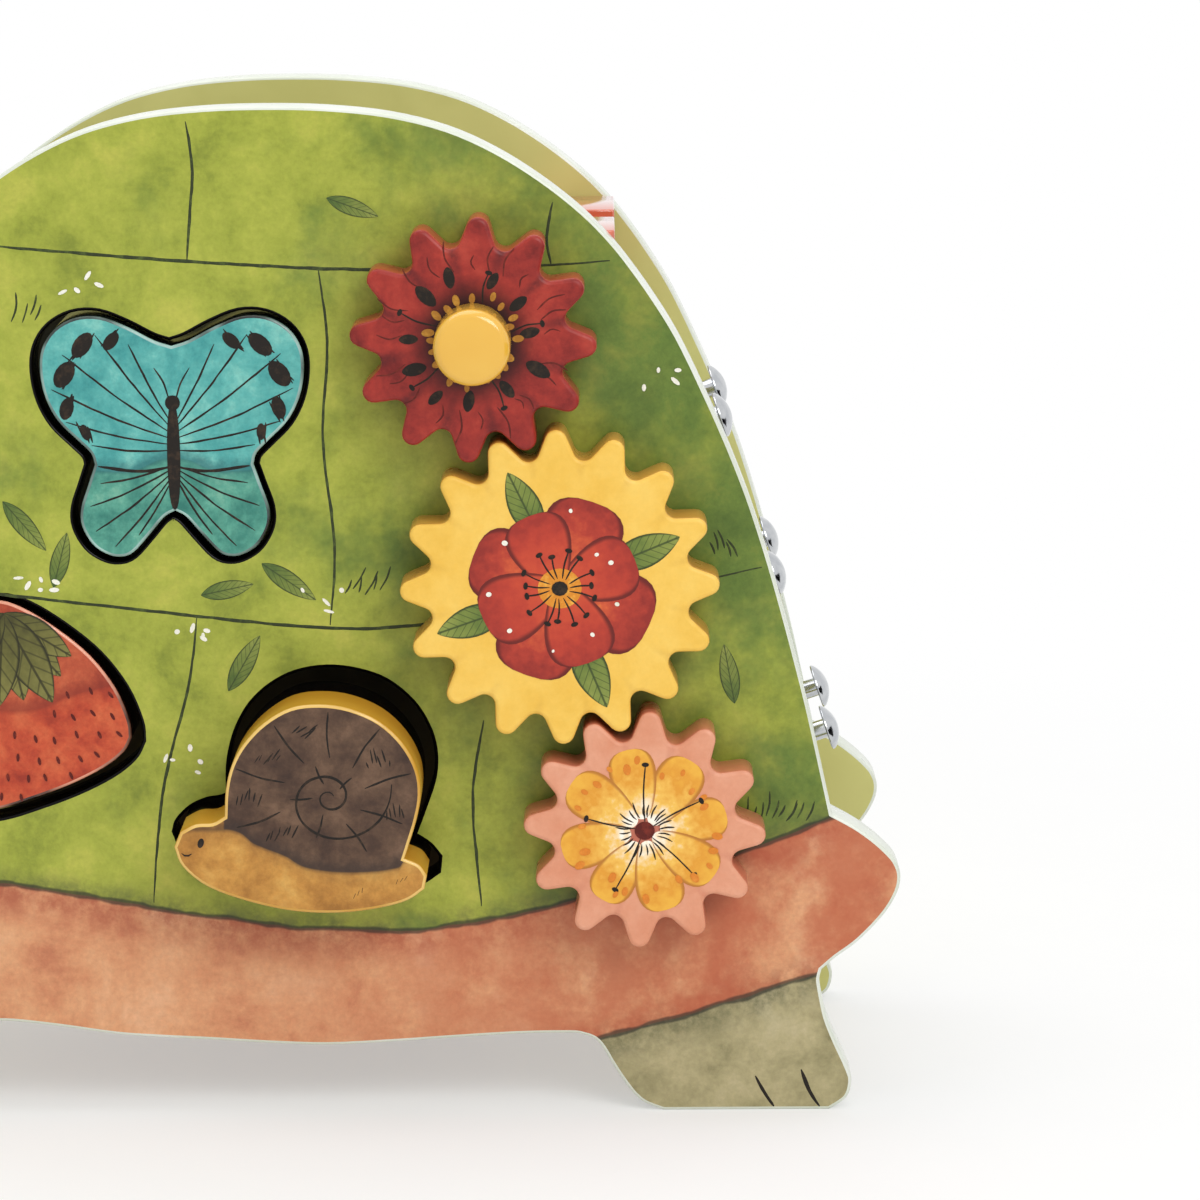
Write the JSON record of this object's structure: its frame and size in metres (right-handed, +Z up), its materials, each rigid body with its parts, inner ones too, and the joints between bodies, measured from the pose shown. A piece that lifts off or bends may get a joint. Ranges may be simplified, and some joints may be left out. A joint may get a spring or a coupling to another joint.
{
  "type": "wooden activity toy",
  "caption": "Tortoise-shaped wooden activity toy: knob-turned gear train, loose shapes in cut-outs, chime bars on a slanted deck, hollow between two panels.",
  "frame": {"origin": "on the ground, in the middle of the box round the whole toy", "axes": "+X towards the tail, -Y towards the painted front with the gears, +Z up"},
  "size_m": [0.3802, 0.1468, 0.2657],
  "materials": {
    "front_paint": "varnished watercolour print on board",
    "back_paint": "satin olive lacquer",
    "bare_wood": "bare sanded beech",
    "coral_gloss": "gloss coral lacquer",
    "felt": "pressed wool felt",
    "bar_steel": "plated chime bar",
    "pin_chrome": "polished chrome",
    "red_paint": "varnished print, red",
    "yellow_paint": "satin lacquer, yellow",
    "yellow_gloss": "gloss lacquer, yellow",
    "pink_paint": "satin lacquer, salmon pink",
    "teal_paint": "varnished print, teal",
    "berry_paint": "varnished print, orange red",
    "mustard_paint": "varnished print, mustard"
  },
  "bodies": {
    "frame": {"front_panel": "front_paint", "back_panel": "back_paint", "hollow_floor": "bare_wood", "neck_block": "bare_wood", "beater_rest": "coral_gloss", "chime_deck": "bare_wood", "felt_strip_1": "felt", "felt_strip_2": "felt", "chime_bar_1": "bar_steel", "chime_bar_2": "bar_steel", "chime_bar_3": "bar_steel", "chime_pin_1_1": "pin_chrome", "chime_pin_1_2": "pin_chrome", "chime_pin_2_1": "pin_chrome", "chime_pin_2_2": "pin_chrome", "chime_pin_3_1": "pin_chrome", "chime_pin_3_2": "pin_chrome", "red_spacer": "bare_wood", "yellow_spacer": "bare_wood", "pink_spacer": "bare_wood", "floor_dowel_front_1": "bare_wood", "floor_dowel_back_1": "bare_wood", "floor_dowel_front_2": "bare_wood", "floor_dowel_back_2": "bare_wood", "neck_dowel_front_1": "bare_wood", "neck_dowel_back_1": "bare_wood", "neck_dowel_front_2": "bare_wood", "neck_dowel_back_2": "bare_wood", "rest_dowel_front_1": "bare_wood", "rest_dowel_back_1": "bare_wood", "deck_dowel_front_1": "bare_wood", "deck_dowel_back_1": "bare_wood", "deck_dowel_front_2": "bare_wood", "deck_dowel_back_2": "bare_wood"},
    "red_wheel": {"red_gear": "red_paint", "red_axle": "bare_wood", "red_collar": "bare_wood", "turning_knob": "yellow_gloss"},
    "yellow_wheel": {"yellow_gear": "yellow_paint", "yellow_axle": "bare_wood", "yellow_collar": "bare_wood"},
    "pink_wheel": {"pink_gear": "pink_paint", "pink_axle": "bare_wood", "pink_collar": "bare_wood"},
    "butterfly": {"butterfly_piece": "teal_paint"},
    "strawberry": {"strawberry_piece": "berry_paint"},
    "snail": {"snail_piece": "mustard_paint"}
  },
  "joints": [
    {"name": "red_spin", "type": "hinge", "parent": "frame", "child": "red_wheel", "pos_m": [0.0801, 0.01595, 0.2077], "axis": [0, -1, 0], "continuous": true},
    {"name": "yellow_spin", "type": "hinge", "parent": "frame", "child": "yellow_wheel", "pos_m": [0.10154, 0.01595, 0.14401], "axis": [0, -1, 0], "continuous": true},
    {"name": "pink_spin", "type": "hinge", "parent": "frame", "child": "pink_wheel", "pos_m": [0.12297, 0.01595, 0.08032], "axis": [0, -1, 0], "continuous": true},
    {"name": "butterfly_push", "type": "slide", "parent": "frame", "child": "butterfly", "axis": [0, 1, 0], "range_m": [-0.031, 0.018]},
    {"name": "strawberry_push", "type": "slide", "parent": "frame", "child": "strawberry", "axis": [0, 1, 0], "range_m": [-0.032, 0.017]},
    {"name": "snail_push", "type": "slide", "parent": "frame", "child": "snail", "axis": [0, 1, 0], "range_m": [-0.009, 0.04]}
  ],
  "couplings": [
    {"joint": "yellow_spin", "follows": "red_spin", "ratio": -0.75},
    {"joint": "pink_spin", "follows": "red_spin", "ratio": 1}
  ]
}
